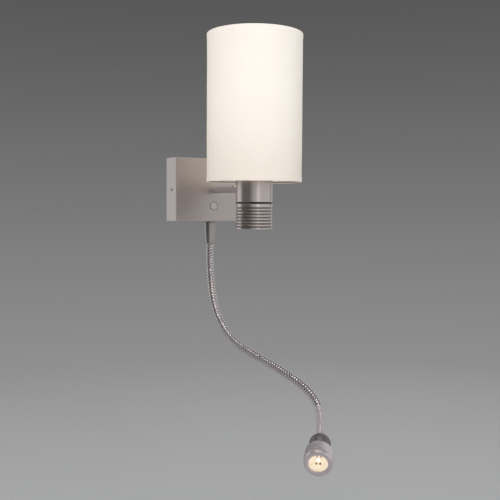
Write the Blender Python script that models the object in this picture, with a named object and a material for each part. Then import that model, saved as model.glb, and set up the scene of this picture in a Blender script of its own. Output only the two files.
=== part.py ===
"""Wall lamp: a drum shade on a short arm, with a flexible reading light under its wall box.

The origin is the centre of the wall box's back, on the wall. +Z is up, +X is to the right of
someone who faces the wall, and the lamp stands out from the wall along -Y. Sizes in this file are
millimetres, and the helpers scale them to metres.
"""

import math
from bisect import bisect_right

import bmesh
import bpy
from mathutils import Matrix, Vector

MM = 0.001
GAP = 0.3                    # clearance between pieces that touch

# Wall box
BOX_WIDTH = 125.0
BOX_HEIGHT = 94.0
BOX_DEPTH = 32.0
BOX_WALL = 1.5
BOX_FRONT = 2.0
SIDE_SCREW_Y = -16.0
CABLE_HOLE_Z = 22.0

# Steel bracket inside the box
BRACKET_WIDTH = 116.0
BRACKET_HEIGHT = 85.0
PLATE = 2.0
TAB_DEPTH = 24.0
TAB_HEIGHT = 18.0
SLOT_X = 44.0
SLOT_LENGTH = 12.0
SLOT_WIDTH = 5.0

# Arm and lamp body
REACH = 146.0                # wall to the lamp's axis
ARM_RADIUS = 5.5
ARM_SPIGOT = 4.0
BODY_RADIUS = 25.0
BODY_BORE = 21.5
BODY_TOP = 22.0
BODY_BOTTOM = -18.4
SEAT_DEPTH = 22.3            # lamp's axis to the bottom of the arm's seat in the body

# Turned knob below the body
KNOB_TOP = -20.9
KNOB_BOTTOM = -55.2
GROOVES = 7
FIRST_GROOVE = -26.5
GROOVE_PITCH = 4.27
GROOVE_WIDTH = 2.1
GROOVE_DEPTH = 1.6

# Shade
SHADE_RADIUS = 65.0
SHADE_SKIN = 0.9
SHADE_BOTTOM = 9.0
SHADE_TOP = 208.0
SHADE_RING_RADIUS = 62.2
SHADE_WIRE = 1.4

# Push button on the box's front
BUTTON_Z = -24.0
BUTTON_RADIUS = 6.0

# Flexible neck: where its centre line runs, from the ferrule's end to the head
NECK_Y = -20.0
FERRULE_END = -81.0
FERRULE_RADIUS = 8.7
NECK_RADIUS = 5.8
NECK_BORE = 2.6
NECK_ROUTE = [
    (0, -20, -81), (0, -20, -114), (0, -26, -151), (0, -38, -184), (7, -63, -217),
    (22, -92, -236), (39, -123, -248), (52, -155, -262), (63, -187, -276),
    (67.5, -215, -297.5), (53.1, -232.1, -323.5),
]
JOINTS = 8
FIRST_JOINT = 20.0           # along the neck from the ferrule's end
JOINT_SPACING = 41.0
BEND_SIGNS = (1, 1, -1, 1, -1, -1, 1, -1)    # so that joints at their limits make an S
SLEEVE_START = 328.0         # where the plain sleeve at the neck's end begins
NECK_SIDES = 12
BOWL_RADIUS = NECK_RADIUS + GAP
BOWL_RIM = 3.5               # how far past a joint's centre the next segment begins
SHOULDER = 0.9               # length of the bevel behind that rim

# Reading head, measured from the centre of its ball joint
DOME_RADIUS = 14.5
BALL_RADIUS = 11.5
PIVOT_FROM_NECK_END = 18.6
SLEEVE_SEAT = 12.9           # ball's centre back to the sleeve's end
HEAD_AXIS = (-0.614, -0.735, -0.288)
BELL_REAR = 16.4
BELL_FRONT = 44.0
BELL_RADIUS = 19.5
BELL_WALL = 2.7
BEZEL_DEPTH = 5.0            # front of the bell back to the step that the bezel sits on
APERTURE_RADIUS = 12.5

STEEL = ("brushed_nickel", (0.56, 0.53, 0.51), 0.34, 1.0)
ZINC = ("zinc_plate", (0.62, 0.62, 0.60), 0.45, 1.0)
BRASS = ("brass", (0.72, 0.56, 0.28), 0.35, 1.0)
DARK = ("dark_plastic", (0.05, 0.05, 0.055), 0.45, 0.0)
GREY_METAL = ("dark_grey_metal", (0.13, 0.12, 0.12), 0.42, 0.6)
BLACK = ("black_ring", (0.012, 0.011, 0.011), 0.40, 0.0)
WHITE = ("white_plastic", (0.86, 0.85, 0.82), 0.40, 0.0)
FABRIC = ("shade_fabric", (0.93, 0.90, 0.85), 0.85, 0.0)
WHITE_WIRE = ("white_wire", (0.85, 0.84, 0.81), 0.45, 0.0)
GLASS = ("opal_glass", (0.95, 0.94, 0.90), 0.20, 0.0)
REFLECTOR = ("reflector", (0.90, 0.88, 0.82), 0.12, 1.0)
EMITTER = ("led_yellow", (0.95, 0.80, 0.30), 0.40, 0.0)

UP = Vector((0, 0, 1))
OUT = Vector((0, -1, 0))


# ---------------------------------------------------------------- helpers

def clear_scene():
    for obj in list(bpy.data.objects):
        bpy.data.objects.remove(obj)


def material(finish):
    name, colour, roughness, metallic = finish
    found = bpy.data.materials.get(name)
    if found:
        return found
    made = bpy.data.materials.new(name)
    made.use_nodes = True
    shader = made.node_tree.nodes["Principled BSDF"]
    shader.inputs["Base Color"].default_value = (*colour, 1.0)
    shader.inputs["Roughness"].default_value = roughness
    shader.inputs["Metallic"].default_value = metallic
    return made


def place(origin, axis=UP):
    """Matrix that stands a shape made along +Z at origin (mm), along axis."""
    turn = UP.rotation_difference(Vector(axis).normalized())
    return Matrix.Translation(Vector(origin) * MM) @ turn.to_matrix().to_4x4()


def add_object(name, bm, finish, matrix=None, parent=None):
    """Close the bmesh (made in mm) into a named object at matrix."""
    bmesh.ops.remove_doubles(bm, verts=bm.verts, dist=0.001)
    bmesh.ops.recalc_face_normals(bm, faces=bm.faces)
    if bm.calc_volume(signed=True) < 0:
        bmesh.ops.reverse_faces(bm, faces=bm.faces)
    bmesh.ops.scale(bm, vec=(MM, MM, MM), verts=bm.verts)
    mesh = bpy.data.meshes.new(name)
    bm.to_mesh(mesh)
    bm.free()
    mesh.shade_smooth()
    mesh.set_sharp_from_angle(angle=math.radians(35))
    mesh.materials.append(material(finish))
    obj = bpy.data.objects.new(name, mesh)
    bpy.context.scene.collection.objects.link(obj)
    obj.matrix_world = matrix or Matrix()
    if parent:
        obj.parent = parent
        obj.matrix_parent_inverse = parent.matrix_basis.inverted()
    return obj


def hide_tool(obj):
    obj.hide_render = True
    obj.display_type = "WIRE"
    return obj


def turned(name, profile, finish, sides=24, matrix=None, parent=None):
    """Spin a profile of (radius, height) points about +Z.

    A profile that starts and ends on the axis stays open there; any other one is a closed loop.
    """
    bm = bmesh.new()
    verts = [bm.verts.new((radius, 0.0, height)) for radius, height in profile]
    edges = [bm.edges.new(pair) for pair in zip(verts, verts[1:])]
    if profile[0][0] > 0:
        edges.append(bm.edges.new((verts[-1], verts[0])))
    bmesh.ops.spin(bm, geom=verts + edges, cent=(0, 0, 0), axis=(0, 0, 1),
                   angle=math.tau, steps=sides, use_merge=True)
    return add_object(name, bm, finish, matrix, parent)


def block(name, low, high, finish, bevel=0.0):
    """Box between two corners, with its long edges bevelled by a modifier."""
    bm = bmesh.new()
    low, high = Vector(low), Vector(high)
    size = high - low
    bmesh.ops.create_cube(bm, size=1.0, matrix=Matrix.Diagonal((*size, 1.0)))
    obj = add_object(name, bm, finish, Matrix.Translation((low + high) * 0.5 * MM))
    if bevel:
        edge = obj.modifiers.new("edges", "BEVEL")
        edge.width = bevel * MM
        edge.segments = 1
    return obj


def rod(name, radius, start, end, sides=16, finish=ZINC):
    """Solid cylinder between two points."""
    start, end = Vector(start), Vector(end)
    bm = bmesh.new()
    bmesh.ops.create_cone(bm, cap_ends=True, segments=sides, radius1=radius, radius2=radius,
                          depth=(end - start).length)
    return add_object(name, bm, finish, place((start + end) / 2, end - start))


def combine(target, tool, operation="DIFFERENCE"):
    hide_tool(tool)
    boolean = target.modifiers.new(tool.name, "BOOLEAN")
    boolean.operation = operation
    boolean.solver = "EXACT"
    boolean.object = tool


def drill(target, name, radius, start, end, sides=16):
    combine(target, rod(name, radius, start, end, sides))


def pivot(name, origin, axis=UP):
    """Empty on a moving piece's axis."""
    empty = bpy.data.objects.new(name, None)
    bpy.context.scene.collection.objects.link(empty)
    empty.matrix_world = place(origin, axis)
    return empty


def arc_points(radius, start, stop, steps):
    """(radius, height) points on a circle round the axis, angles in degrees above the equator."""
    points = []
    for i in range(steps + 1):
        angle = math.radians(start + (stop - start) * i / steps)
        points.append((radius * math.cos(angle), radius * math.sin(angle)))
    return points


def hex_nut(name, radius, bore, low, high, finish, matrix):
    """Hexagonal nut; bore is the round shaft's radius, which the six flats clear."""
    inner = (bore + GAP) / math.cos(math.pi / 6)
    profile = [(inner, low), (radius, low), (radius, high), (inner, high)]
    return turned(name, profile, finish, sides=6, matrix=matrix)


# ---------------------------------------------------------------- neck's centre line

class Centreline:
    """Uniform cubic B-spline over control points, read by distance along it in mm."""

    STEPS = 40

    def __init__(self, controls):
        points = [Vector(p) for p in controls]
        first = points[0] * 2 - points[1]
        last = points[-1] * 2 - points[-2]
        padded = [first, *points, last]
        self.points = []
        for span in range(len(points) - 1):
            for step in range(self.STEPS):
                self.points.append(self.blend(padded[span:span + 4], step / self.STEPS))
        self.points.append(points[-1])
        self.distance = [0.0]
        for a, b in zip(self.points, self.points[1:]):
            self.distance.append(self.distance[-1] + (b - a).length)
        self.length = self.distance[-1]

    @staticmethod
    def blend(four, t):
        weights = ((1 - t) ** 3, 3 * t ** 3 - 6 * t * t + 4,
                   -3 * t ** 3 + 3 * t * t + 3 * t + 1, t ** 3)
        return sum((p * w for p, w in zip(four, weights)), Vector()) / 6

    def at(self, distance):
        i = min(max(bisect_right(self.distance, distance) - 1, 0), len(self.points) - 2)
        span = self.distance[i + 1] - self.distance[i]
        return self.points[i].lerp(self.points[i + 1], (distance - self.distance[i]) / span)

    def direction(self, distance):
        reach = 2.0
        low = max(distance - reach, 0.0)
        high = min(distance + reach, self.length)
        return (self.at(high) - self.at(low)).normalized()

    def side(self, distance):
        """Sideways vector, +X at the start, carried along the line without twisting."""
        side = Vector((1, 0, 0))
        steps = 60
        for i in range(steps + 1):
            ahead = self.direction(distance * i / steps)
            side = (side - ahead * side.dot(ahead)).normalized()
        return side


NECK = Centreline(NECK_ROUTE)
NECK_END = NECK.at(NECK.length)
NECK_AIM = NECK.direction(NECK.length)
HEAD_PIVOT = NECK_END + NECK_AIM * PIVOT_FROM_NECK_END
HEAD_AIM = Vector(HEAD_AXIS).normalized()


def joint_distance(number):
    """Distance along the neck of joint 1, 2, ... JOINTS."""
    return FIRST_JOINT + JOINT_SPACING * (number - 1)


def joint_axis(number):
    """Odd joints bend the neck up and down, even joints sideways."""
    distance = joint_distance(number)
    side = NECK.side(distance)
    axis = side if number % 2 else NECK.direction(distance).cross(side)
    return axis * BEND_SIGNS[number - 1]


def ring(bm, centre, ahead, side, radius):
    """Circle of edges round the neck's line."""
    other = ahead.cross(side)
    frame = Matrix((side, other, ahead)).transposed().to_4x4()
    made = bmesh.ops.create_circle(bm, cap_ends=False, segments=NECK_SIDES, radius=radius,
                                   matrix=Matrix.Translation(centre) @ frame)
    return list({edge for vert in made["verts"] for edge in vert.link_edges})


def ball_rings(distance):
    """Rings of the round end at a joint's centre: (centre, ahead, side, radius)."""
    centre, ahead, side = NECK.at(distance), NECK.direction(distance), NECK.side(distance)
    end = math.degrees(math.acos(NECK_BORE / NECK_RADIUS))
    return [(centre + ahead * height, ahead, side, radius)
            for radius, height in arc_points(NECK_RADIUS, 0, end, 3)]


def bowl_rings(distance):
    """Rings of the hollow start that follows a joint, from its bore out to its shoulder."""
    centre, ahead, side = NECK.at(distance), NECK.direction(distance), NECK.side(distance)
    deep = math.degrees(math.acos(NECK_BORE / BOWL_RADIUS))
    rim = math.degrees(math.asin(BOWL_RIM / BOWL_RADIUS))
    profile = arc_points(BOWL_RADIUS, deep, rim, 2)
    profile.append((NECK_RADIUS, BOWL_RIM + SHOULDER))
    return [(centre + ahead * height, ahead, side, radius) for radius, height in profile]


def tube_rings(start, stop, radius, steps):
    rings = []
    for i in range(steps + 1):
        at = start + (stop - start) * i / steps
        rings.append((NECK.at(at), NECK.direction(at), NECK.side(at), radius))
    return rings


def loft(name, rings, finish, parent=None):
    """Closed tube through a loop of rings, the last one joined to the first."""
    bm = bmesh.new()
    loops = [ring(bm, *entry) for entry in rings]
    for a, b in zip(loops, loops[1:] + loops[:1]):
        bmesh.ops.bridge_loops(bm, edges=a + b)
    return add_object(name, bm, finish, parent=parent)


# ---------------------------------------------------------------- wall box

def stadium(name, length, width, depth, matrix):
    """Slot-shaped cutter along X, depth along Z."""
    radius = width / 2
    bm = bmesh.new()
    outline = []
    for end, start in ((1, -90), (-1, 90)):
        for i in range(5):
            angle = math.radians(start + 45 * i)
            x = end * (length / 2 - radius) + radius * math.cos(angle)
            outline.append(bm.verts.new((x, radius * math.sin(angle), -depth / 2)))
    face = bm.faces.new(outline)
    lifted = bmesh.ops.extrude_face_region(bm, geom=[face])["geom"]
    moved = [item for item in lifted if isinstance(item, bmesh.types.BMVert)]
    bmesh.ops.translate(bm, vec=(0, 0, depth), verts=moved)
    return add_object(name, bm, ZINC, matrix)


def make_bracket():
    x, z = BRACKET_WIDTH / 2, BRACKET_HEIGHT / 2
    plate = block("wall_bracket", (-x, -PLATE, -z), (x, 0, z), ZINC)
    for side, word in ((-1, "left"), (1, "right")):
        inner, outer = sorted((side * (x - PLATE), side * x))
        tab = block(f"tab_{word}", (inner, -TAB_DEPTH, -TAB_HEIGHT / 2),
                    (outer, -PLATE / 2, TAB_HEIGHT / 2), ZINC)
        combine(plate, tab, "UNION")
        across = place((side * SLOT_X, -PLATE / 2, 0), OUT)
        combine(plate, stadium(f"slot_{word}", SLOT_LENGTH, SLOT_WIDTH, 3 * PLATE, across))
    drill(plate, "cable_hole", 6.3, (0, 2, CABLE_HOLE_Z), (0, -4, CABLE_HOLE_Z))
    drill(plate, "tab_holes", 2.1, (-70, SIDE_SCREW_Y, 0), (70, SIDE_SCREW_Y, 0), sides=12)


def make_cover():
    x, z = BOX_WIDTH / 2, BOX_HEIGHT / 2
    cover = block("box_cover", (-x, -BOX_DEPTH, -z), (x, 0, z), STEEL, bevel=0.4)
    inside = block("box_inside", (-x + BOX_WALL, -BOX_DEPTH + BOX_FRONT, -z + BOX_WALL),
                   (x - BOX_WALL, 5, z - BOX_WALL), STEEL)
    combine(cover, inside)
    front = -BOX_DEPTH
    drill(cover, "arm_hole", 4.3, (0, front - 3, 0), (0, front + 5, 0))
    drill(cover, "button_hole", BUTTON_RADIUS + 0.5, (0, front - 3, BUTTON_Z),
          (0, front + 5, BUTTON_Z), sides=24)
    drill(cover, "neck_hole", 5.3, (0, NECK_Y, -z - 3), (0, NECK_Y, -z + 4))
    drill(cover, "side_holes", 2.1, (-x - 3, SIDE_SCREW_Y, 0), (x + 3, SIDE_SCREW_Y, 0), 12)


def make_cover_screws():
    profile = [(0, 0.3), (1.2, 0.3), (1.2, 1.1), (2.3, 1.1), (2.6, 0.8), (2.6, 0.3),
               (1.7, 0.3), (1.7, -7), (0, -7)]
    for side, word in ((-1, "left"), (1, "right")):
        seat = place((side * BOX_WIDTH / 2, SIDE_SCREW_Y, 0), (side, 0, 0))
        turned(f"cover_screw_{word}", profile, ZINC, sides=12, matrix=seat)


def make_box_fittings():
    grommet = [(4.5, 0.3), (6.0, 0.3), (6.0, 2.3), (8.0, 2.3), (8.0, 4.0), (4.5, 4.0)]
    turned("cable_grommet", grommet, BLACK, sides=16, matrix=place((0, 0, CABLE_HOLE_Z), OUT))

    terminal = block("terminal_block", (-50, -16, 15), (-26, -2.3, 28), WHITE, bevel=0.6)
    for i in range(3):
        x = -45.5 + 7.5 * i
        drill(terminal, f"wire_way_{i}", 1.5, (x, -9, 10), (x, -9, 33), sides=8)

    block("led_driver", (17, -21, -38), (53, -2.3, -10), DARK, bevel=1.0)

    stud = [(0, 0.3), (3.6, 0.3), (3.6, 2.8), (1.9, 2.8), (1.9, 8), (0, 8)]
    turned("earth_terminal", stud, BRASS, sides=6, matrix=place((-38, -PLATE, -24), OUT))


def make_button():
    seat = place((0, -BOX_DEPTH + BOX_FRONT, BUTTON_Z), -OUT)
    shell = [(6.3, 0.3), (9.0, 0.3), (9.0, 15), (2.9, 15), (2.9, 5.5), (6.3, 5.5)]
    turned("push_switch_body", shell, DARK, sides=20, matrix=seat)
    washer = [(9.4, 0.3), (12, 0.3), (12, 1.5), (9.4, 1.5)]
    turned("switch_clip", washer, ZINC, sides=20, matrix=seat)

    axis = pivot("button_axis", (0, -BOX_DEPTH, BUTTON_Z), -OUT)
    head = [(0, -0.5), (5.5, -0.5), (6.0, -0.1), (6.0, 5), (2.5, 5), (2.5, 14), (0, 14)]
    turned("push_button", head, STEEL, sides=24,
           matrix=place((0, -BOX_DEPTH, BUTTON_Z), -OUT), parent=axis)


# ---------------------------------------------------------------- arm and lamp body

def lamp_place():
    return place((0, -REACH, 0))


def make_arm():
    front = place((0, -BOX_DEPTH, 0), OUT)
    end = REACH - BOX_DEPTH - SEAT_DEPTH - GAP
    tube = [(2.5, -8), (ARM_SPIGOT, -8), (ARM_SPIGOT, GAP), (ARM_RADIUS, GAP), (ARM_RADIUS, end),
            (ARM_SPIGOT, end), (ARM_SPIGOT, end + 8.3), (2.5, end + 8.3)]
    turned("arm", tube, STEEL, sides=20, matrix=front)
    hex_nut("arm_nut_rear", 7.2, ARM_SPIGOT, -5.5, -2.3, BRASS, front)
    inner = place((0, -REACH, 0), -OUT)
    hex_nut("arm_nut_front", 6.6, ARM_SPIGOT, 17.1, 20.1, BRASS, inner)


def make_lamp_body():
    shell = [(BODY_RADIUS, BODY_BOTTOM), (BODY_RADIUS, BODY_TOP - 0.8),
             (BODY_RADIUS - 0.8, BODY_TOP), (5.3, BODY_TOP), (5.3, BODY_TOP - 3),
             (BODY_BORE, BODY_TOP - 3), (BODY_BORE, BODY_BOTTOM)]
    body = turned("lamp_body", shell, STEEL, sides=32, matrix=lamp_place())
    drill(body, "arm_seat", ARM_RADIUS + GAP, (0, -REACH + SEAT_DEPTH, 0), (0, -REACH + 30, 0), 20)
    drill(body, "arm_way", ARM_SPIGOT + GAP, (0, -REACH + 15, 0), (0, -REACH + 30, 0), 20)


def make_switch():
    plate = [(5.1, -18.4), (21.2, -18.4), (21.2, -15.4), (5.1, -15.4)]
    turned("switch_plate", plate, ZINC, sides=24, matrix=lamp_place())
    gap_ring = [(5.1, -20.6), (BODY_RADIUS, -20.6), (BODY_RADIUS, -18.7), (5.1, -18.7)]
    turned("shadow_gap_ring", gap_ring, BLACK, sides=32, matrix=lamp_place())
    module = [(0, -11), (3.3, -11), (3.3, -24.2), (4.8, -24.2), (4.8, -15.1), (11, -15.1),
              (11, -8.1), (0, -8.1)]
    turned("dimmer_module", module, DARK, sides=16, matrix=lamp_place())
    hex_nut("dimmer_nut", 8.2, 4.8, -23.9, -20.9, BRASS, lamp_place())


def knob_profile():
    """Outside of the knob from the bottom up: seven grooves under a plain land."""
    points = [(0, KNOB_BOTTOM), (BODY_RADIUS, KNOB_BOTTOM)]
    for i in reversed(range(GROOVES)):
        centre = FIRST_GROOVE - GROOVE_PITCH * i
        low, high = centre - GROOVE_WIDTH / 2, centre + GROOVE_WIDTH / 2
        deep = BODY_RADIUS - GROOVE_DEPTH
        points += [(BODY_RADIUS, low), (deep, low), (deep, high), (BODY_RADIUS, high)]
    return points + [(BODY_RADIUS, KNOB_TOP)]


def make_knob():
    inside = [(19, KNOB_TOP), (19, -50), (6, -50), (6, -24.5), (3.3, -24.5), (3.3, -47), (0, -47)]
    axis = pivot("knob_axis", (0, -REACH, 0))
    turned("knob", knob_profile() + inside, STEEL, sides=24, matrix=lamp_place(), parent=axis)
    shaft = [(0, -46.7), (3.0, -46.7), (3.0, -11.3), (0, -11.3)]
    turned("dimmer_shaft", shaft, BRASS, sides=16, matrix=lamp_place(), parent=axis)


# ---------------------------------------------------------------- lampholder, bulb and shade

def make_lampholder():
    nipple = [(3.4, 12), (5.0, 12), (5.0, 32), (3.4, 32)]
    turned("nipple", nipple, BRASS, sides=16, matrix=lamp_place())
    hex_nut("nipple_nut", 8.0, 5.0, 15.2, 18.7, BRASS, lamp_place())
    holder = [(5.3, 22.3), (14, 22.3), (14, 29), (22, 31), (22, 33), (19, 33), (19, 70),
              (14, 70), (14, 34), (5.3, 34)]
    turned("lampholder", holder, WHITE, sides=24, matrix=lamp_place())
    insert = [(0, 36.3), (13.6, 36.3), (13.6, 40), (0, 40)]
    turned("contact_insert", insert, WHITE, sides=16, matrix=lamp_place())
    block("contact_tongue", (-6, -REACH - 2, 40.3), (6, -REACH + 2, 41.1), BRASS)
    lock = [(19.4, 35.6), (24, 35.6), (24, 39.6), (19.4, 39.6)]
    turned("shade_lock_ring", lock, WHITE, sides=24, matrix=lamp_place())


def make_bulb():
    cap = [(0, 41.4), (4.5, 41.4), (5.5, 43), (11, 46.5), (13, 48), (13, 70.2), (0, 70.2)]
    turned("bulb_cap", cap, ZINC, sides=20, matrix=lamp_place())
    outer = [(13.8, 70.5), (15, 81), (21.5, 94), (28, 107), (30, 120), (26.5, 136), (16, 147)]
    inner = [(radius - 1, height) for radius, height in outer]
    wall = [(0, 149.8), *reversed(inner), *outer, (0, 151)]
    turned("bulb_glass", wall, GLASS, sides=20, matrix=lamp_place())


def torus(name, radius, wire, height, finish, sides=32):
    profile = [(radius + r, height + h) for r, h in arc_points(wire, 0, 300, 5)]
    return turned(name, profile, finish, sides=sides, matrix=lamp_place())


def make_shade():
    inner = SHADE_RADIUS - SHADE_SKIN
    skin = [(inner, SHADE_BOTTOM), (SHADE_RADIUS, SHADE_BOTTOM), (SHADE_RADIUS, SHADE_TOP),
            (inner, SHADE_TOP)]
    turned("shade_skin", skin, FABRIC, sides=48, matrix=lamp_place())
    torus("shade_top_ring", SHADE_RING_RADIUS, SHADE_WIRE, SHADE_TOP - 3, WHITE_WIRE)

    low = SHADE_BOTTOM + 3
    hub = [(20.3, 33.3), (25.5, 33.3), (25.5, 35.3), (20.3, 35.3)]
    fitter = turned("shade_fitter", hub, WHITE_WIRE, sides=24, matrix=lamp_place())
    combine(fitter, torus("fitter_ring", SHADE_RING_RADIUS, SHADE_WIRE, low, WHITE_WIRE), "UNION")
    for i, angle in enumerate((90, 210, 330)):
        turn = math.radians(angle)
        ray = Vector((math.cos(turn), math.sin(turn), 0))
        axis = Vector((0, -REACH, 0))
        spoke = rod(f"fitter_spoke_{i}", 1.3, axis + ray * 24 + UP * 34.3,
                    axis + ray * SHADE_RING_RADIUS + UP * low, sides=8)
        combine(fitter, spoke, "UNION")


# ---------------------------------------------------------------- flexible neck

def make_ferrule():
    base = -BOX_HEIGHT / 2
    line = place((0, NECK_Y, 0))
    thread, throat, end = 4.9, 6.8, FERRULE_END + GAP
    cone = [(NECK_BORE, base + 11), (thread, base + 11), (thread, base - GAP),
            (throat, base - GAP), (throat, base - 2), (FERRULE_RADIUS, base - 2),
            (FERRULE_RADIUS, base - 12), (NECK_RADIUS + 1.6, end + 5),
            (NECK_RADIUS + 0.7, end), (NECK_BORE, end)]
    turned("neck_ferrule", cone, STEEL, sides=20, matrix=line)
    hex_nut("ferrule_nut", 8.5, thread, base + 1.8, base + 5.8, BRASS, line)


def make_neck():
    """Fixed root, then one segment for each joint: a ball at its end, a bowl at its start."""
    first = joint_distance(1)
    root = [*tube_rings(0, first, NECK_RADIUS, 2), *ball_rings(first)[1:],
            *tube_rings(first, 0, NECK_BORE, 1)]
    loft("neck_root", root, STEEL)
    for number in range(1, JOINTS + 1):
        start = joint_distance(number)
        axis = pivot(f"neck_axis_{number}", NECK.at(start), joint_axis(number))
        begin = start + BOWL_RIM + SHOULDER
        last = number == JOINTS
        stop = SLEEVE_START - GAP if last else joint_distance(number + 1)
        rings = [*bowl_rings(start), *tube_rings(begin, stop, NECK_RADIUS, 3)[1:]]
        if not last:
            rings += ball_rings(stop)[1:]
        bore_start = start + BOWL_RADIUS + SHOULDER
        rings += tube_rings(stop if last else stop - GAP, bore_start, NECK_BORE, 2)
        loft(f"neck_segment_{number}", rings, STEEL, parent=axis)


def make_sleeve():
    """Plain sleeve that follows the neck's last stretch and runs on into the head's dome."""
    axis = bpy.data.objects[f"neck_axis_{JOINTS}"]
    side = NECK.side(NECK.length)
    tip = HEAD_PIVOT - NECK_AIM * SLEEVE_SEAT
    outer = tube_rings(SLEEVE_START, NECK.length, NECK_RADIUS, 4)
    inner = tube_rings(NECK.length, SLEEVE_START, NECK_BORE, 2)
    rings = [*outer, (tip, NECK_AIM, side, NECK_RADIUS), (tip, NECK_AIM, side, NECK_BORE), *inner]
    loft("neck_end_sleeve", rings, STEEL, parent=axis)


# ---------------------------------------------------------------- reading head

def make_head_socket():
    """Dark dome on the neck's end; its inside is the ball joint's socket."""
    skirt = 4.0
    cavity = BALL_RADIUS + GAP
    recess = NECK_RADIUS + GAP
    top = -math.degrees(math.acos(recess / DOME_RADIUS))
    low = math.degrees(math.asin(skirt / DOME_RADIUS))
    low_inside = math.degrees(math.asin(skirt / cavity))
    top_inside = -math.degrees(math.acos(2.4 / cavity))
    profile = [*arc_points(DOME_RADIUS, low, top, 7), (recess, -SLEEVE_SEAT + GAP),
               (2.4, -SLEEVE_SEAT + GAP), *arc_points(cavity, top_inside, low_inside, 5)]
    axis = pivot("swivel_axis", HEAD_PIVOT, NECK_AIM)
    turned("head_socket", profile, GREY_METAL, sides=24, matrix=place(HEAD_PIVOT, NECK_AIM),
           parent=axis)


def tilt_axis():
    """The head tilts in the plane of the neck's end and the lamp's own axis."""
    return NECK_AIM.cross(HEAD_AIM).normalized()


def make_head():
    axis = pivot("tilt_axis", HEAD_PIVOT, tilt_axis())
    seat = place(HEAD_PIVOT, HEAD_AIM)
    make_bell(axis, seat)
    make_optics(axis, seat)


def make_bell(axis, seat):
    """Ball of the joint, short stem and the bell itself in one piece, and the bezel in its mouth."""
    bore, stem, fillet, shoulder = 2.2, 5.0, 2.0, 4.5
    rear = BELL_RADIUS - 0.8
    cavity = BELL_RADIUS - BELL_WALL
    step = BELL_FRONT - BEZEL_DEPTH
    ball = arc_points(BALL_RADIUS, -math.degrees(math.acos(bore / BALL_RADIUS)),
                      math.degrees(math.acos(stem / BALL_RADIUS)), 6)
    nose = [(BELL_RADIUS - fillet + r, BELL_FRONT - fillet + h)
            for r, h in arc_points(fillet, 0, 90, 3)][:-1]
    back = [(rear - shoulder + r, BELL_REAR + shoulder + h)
            for r, h in arc_points(shoulder, -90, 0, 3)]
    outside = [(stem, BELL_REAR), *back, (BELL_RADIUS, 36), *nose, (cavity + 1, BELL_FRONT)]
    inside = [(cavity + 1, step), (cavity, step), (cavity, BELL_REAR + 2.6), (bore, BELL_REAR + 2.6)]
    turned("head_bell", ball + outside + inside, STEEL, sides=24, matrix=seat, parent=axis)

    rim, face = cavity + 1 - GAP, BELL_FRONT - 1.8
    bezel = [(APERTURE_RADIUS, BELL_FRONT), (rim, BELL_FRONT), (rim, step + GAP),
             (rim - 1.4, step + GAP), (rim - 1.4, face), (APERTURE_RADIUS, face)]
    turned("front_bezel", bezel, STEEL, sides=24, matrix=seat, parent=axis)


def make_optics(axis, seat):
    """Light source, reflector and window, each held by the bell and its bezel."""
    lip = BELL_RADIUS - 3.7
    board = [(0, 19.3), (lip + 0.5, 19.3), (lip + 0.5, 20.9), (0, 20.9)]
    turned("led_board", board, WHITE, sides=16, matrix=seat, parent=axis)
    emitter = [(0, 21.2), (3.0, 21.2), (3.0, 22.4), (0, 22.4)]
    turned("led_emitter", emitter, EMITTER, sides=12, matrix=seat, parent=axis)
    cup = [(4.0, 24), (5.0, 24), (9.1, 31), (13.0, 38.9), (lip, 39.1), (lip, 40.1), (12.4, 40.1),
           (8.2, 31.4)]
    turned("reflector", cup, REFLECTOR, sides=20, matrix=seat, parent=axis)
    window = [(0, 40.4), (lip, 40.4), (lip, 41.9), (0, 41.9)]
    turned("front_glass", window, GLASS, sides=20, matrix=seat, parent=axis)


def main():
    clear_scene()
    make_bracket()
    make_cover()
    make_cover_screws()
    make_box_fittings()
    make_button()
    make_arm()
    make_lamp_body()
    make_switch()
    make_knob()
    make_lampholder()
    make_bulb()
    make_shade()
    make_ferrule()
    make_neck()
    make_sleeve()
    make_head_socket()
    make_head()


main()
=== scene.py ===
"""Looks of the wall lamp: fine surfaces, fabric, finishes, studio light and camera.

Shapes are written in millimetres and scaled to metres by the helpers. Places and main sizes are read
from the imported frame. The neck's route is the one that the frame was built along.
"""

from bisect import bisect_right
from math import acos, asin, ceil, cos, degrees, floor, pi, radians, sin, tau

import bmesh
import bpy
from mathutils import Matrix, Vector, noise


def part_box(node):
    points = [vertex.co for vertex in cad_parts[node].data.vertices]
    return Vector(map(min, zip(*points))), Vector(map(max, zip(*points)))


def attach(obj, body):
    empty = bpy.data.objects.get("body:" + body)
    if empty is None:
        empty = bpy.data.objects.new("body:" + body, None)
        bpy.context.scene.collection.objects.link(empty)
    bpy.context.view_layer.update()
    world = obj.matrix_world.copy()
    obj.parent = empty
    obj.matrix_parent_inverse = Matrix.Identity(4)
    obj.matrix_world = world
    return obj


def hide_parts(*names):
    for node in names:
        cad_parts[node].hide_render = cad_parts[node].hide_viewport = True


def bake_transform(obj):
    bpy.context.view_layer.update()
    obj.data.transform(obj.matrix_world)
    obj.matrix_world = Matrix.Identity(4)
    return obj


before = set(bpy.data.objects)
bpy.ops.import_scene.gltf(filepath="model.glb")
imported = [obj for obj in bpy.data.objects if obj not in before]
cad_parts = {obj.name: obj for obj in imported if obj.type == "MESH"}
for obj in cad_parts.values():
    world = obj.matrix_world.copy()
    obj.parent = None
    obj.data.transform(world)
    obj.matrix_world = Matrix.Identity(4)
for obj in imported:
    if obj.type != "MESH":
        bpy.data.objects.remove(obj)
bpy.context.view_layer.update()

MM = 0.001
UP = Vector((0, 0, 1))
OUT = Vector((0, -1, 0))

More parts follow.
